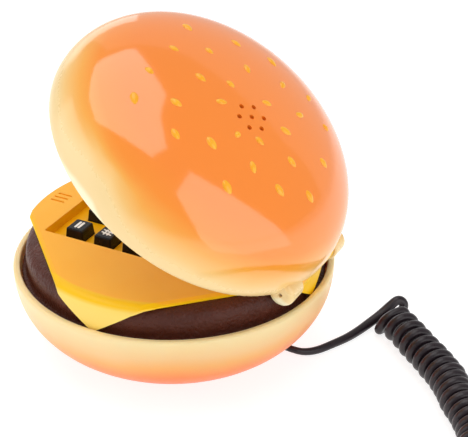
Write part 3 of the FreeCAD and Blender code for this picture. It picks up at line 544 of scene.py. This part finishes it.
# ------------------------------------------------------------------ key legends
def legend(node, text):
    """A thin print on a key's top, riding with that key."""
    low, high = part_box(node)
    cx, cy, top = (low[0] + high[0]) / 2, (low[1] + high[1]) / 2, high[2]
    if text:
        cu = bpy.data.curves.new("print", "FONT")
        cu.body = text
        cu.size = 0.0062
        cu.align_x = "CENTER"
        cu.align_y = "CENTER"
        cu.extrude = 0.00003
        cu.offset = 0.00011
        cu.resolution_u = 4
        tmp = add_object("print", cu)
        bpy.context.view_layer.update()
        me = bpy.data.meshes.new_from_object(tmp.evaluated_get(bpy.context.evaluated_depsgraph_get()))
        bpy.data.objects.remove(tmp)
        bpy.data.curves.remove(cu)
        bm = bmesh.new()
        bm.from_mesh(me)
        bpy.data.meshes.remove(me)
        bmesh.ops.remove_doubles(bm, verts=bm.verts, dist=1e-7)
        xs = [v.co.x for v in bm.verts]
        ys = [v.co.y for v in bm.verts]
        mid = Vector(((min(xs) + max(xs)) / 2, (min(ys) + max(ys)) / 2, 0.0))
        for v in bm.verts:
            v.co -= mid
    else:
        # two plain bars, rounded at their ends
        bm = bmesh.new()
        for mid_y in (-0.00068, 0.00068):
            ring = []
            for k in range(16):
                a = 2 * math.pi * (k + 0.5) / 16
                ring.append((math.copysign(0.0018, math.cos(a)) + 0.00052 * math.cos(a), mid_y + 0.00052 * math.sin(a)))
            lo_v = [bm.verts.new((x, y, -0.00003)) for x, y in ring]
            hi_v = [bm.verts.new((x, y, 0.00003)) for x, y in ring]
            bm.faces.new(list(reversed(lo_v)))
            bm.faces.new(hi_v)
            for k in range(16):
                bm.faces.new((lo_v[k], lo_v[(k + 1) % 16], hi_v[(k + 1) % 16], hi_v[k]))
    for v in bm.verts:
        v.co += Vector((cx, cy, top + 0.00001))
    me = bpy.data.meshes.new("legend_" + node)
    bm.to_mesh(me)
    bm.free()
    ob = add_object("legend_" + node, me)
    me.materials.append(LEGEND)
    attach(ob, node)
    return ob


# ----------------------------------------------------------------- plump seeds
def plump_seeds():
    """The raised seeds, each made broader across its own length."""
    ob = add_object("seed_skin", NODES["sesame_seeds"].data.copy())
    bm = bmesh.new()
    bm.from_mesh(ob.data)
    bmesh.ops.remove_doubles(bm, verts=bm.verts, dist=1e-7)
    left = set(bm.verts)
    turn = Matrix.Rotation(LID_OPEN, 3, "X")
    sizes = []
    while left:
        stack = [left.pop()]
        isle = []
        while stack:
            v = stack.pop()
            isle.append(v)
            for e in v.link_edges:
                w = e.other_vert(v)
                if w in left:
                    left.discard(w)
                    stack.append(w)
        co = np.array([tuple(v.co) for v in isle])
        mid = (co.max(0) + co.min(0)) / 2
        # the lid's own normal there, from its closed shape
        q = turn @ (Vector(mid) - HINGE) + HINGE
        out = turn.inverted() @ Vector((q.x / 0.0588 ** 2, q.y / 0.0588 ** 2, (q.z - LID_Z - 0.0036) / 0.0344 ** 2))
        out = np.array(out.normalized())
        flat = (co - mid) - np.outer((co - mid) @ out, out)
        val, vec = np.linalg.eigh(flat.T @ flat)
        wide = vec[:, 1]
        long_size, wide_size = np.ptp(flat @ vec[:, 2]), np.ptp(flat @ wide)
        grow = min(max(0.56 * long_size / wide_size, 1.1), 1.55)
        for v in isle:
            d = np.array(tuple(v.co)) - mid
            d += wide * (d @ wide) * (grow - 1.0)
            v.co = Vector(mid + d)
        sizes.append((round(long_size * 1000, 2), round(wide_size * 1000, 2), round(np.ptp((co - mid) @ out) * 1000, 2)))
    bm.to_mesh(ob.data)
    bm.free()
    ob.data.polygons.foreach_set("use_smooth", [True] * len(ob.data.polygons))
    print("seeds", len(sizes), sizes[:6])
    return ob


give(TOP_BUN, "top_bun_shell")
give(BOTTOM_BUN, "bottom_bun_shell")
give(CHEESE, "cheese_plate")
give(SEED, "sesame_seeds")
give(LINER, "lid_liner", "hook_plunger")
give(RUBBER, "foot_pad")
give(SILICONE, "keypad_mat")
give(BOARD, "main_board")
give(BLACK, "dialler_chip", "capacitors", "hook_switch_body", "ringer_switch_body", "ringer_switch_slider", "strain_relief")
give(ALU, "microphone", "earpiece")
give(STEEL, "board_screws", "base_screws", "lid_screws", "hinge_pin")
give(BRASS, "ringer_sounder", "plug_contacts")
give(CLEAR, "line_plug")
KEYS = [k for k in NODES if k.startswith("key_")]
give(KEY, *KEYS)
for k in KEYS:
    word = k[4:]
    legend(k, "" if word.startswith("fn") else {"star": "*", "hash": "#"}.get(word, word))

seeds = plump_seeds()
seeds.data.materials.clear()
seeds.data.materials.append(SEED)
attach(seeds, "lid")
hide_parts("sesame_seeds")

patty = patty_skin()
patty.data.materials.clear()
patty.data.materials.append(PATTY)
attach(patty, "base")
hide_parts("patty_ring")

cord.data.materials.append(CORD)
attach(cord, "base")
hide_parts("line_cord_lead", "line_cord_coil", "line_cord_tail")
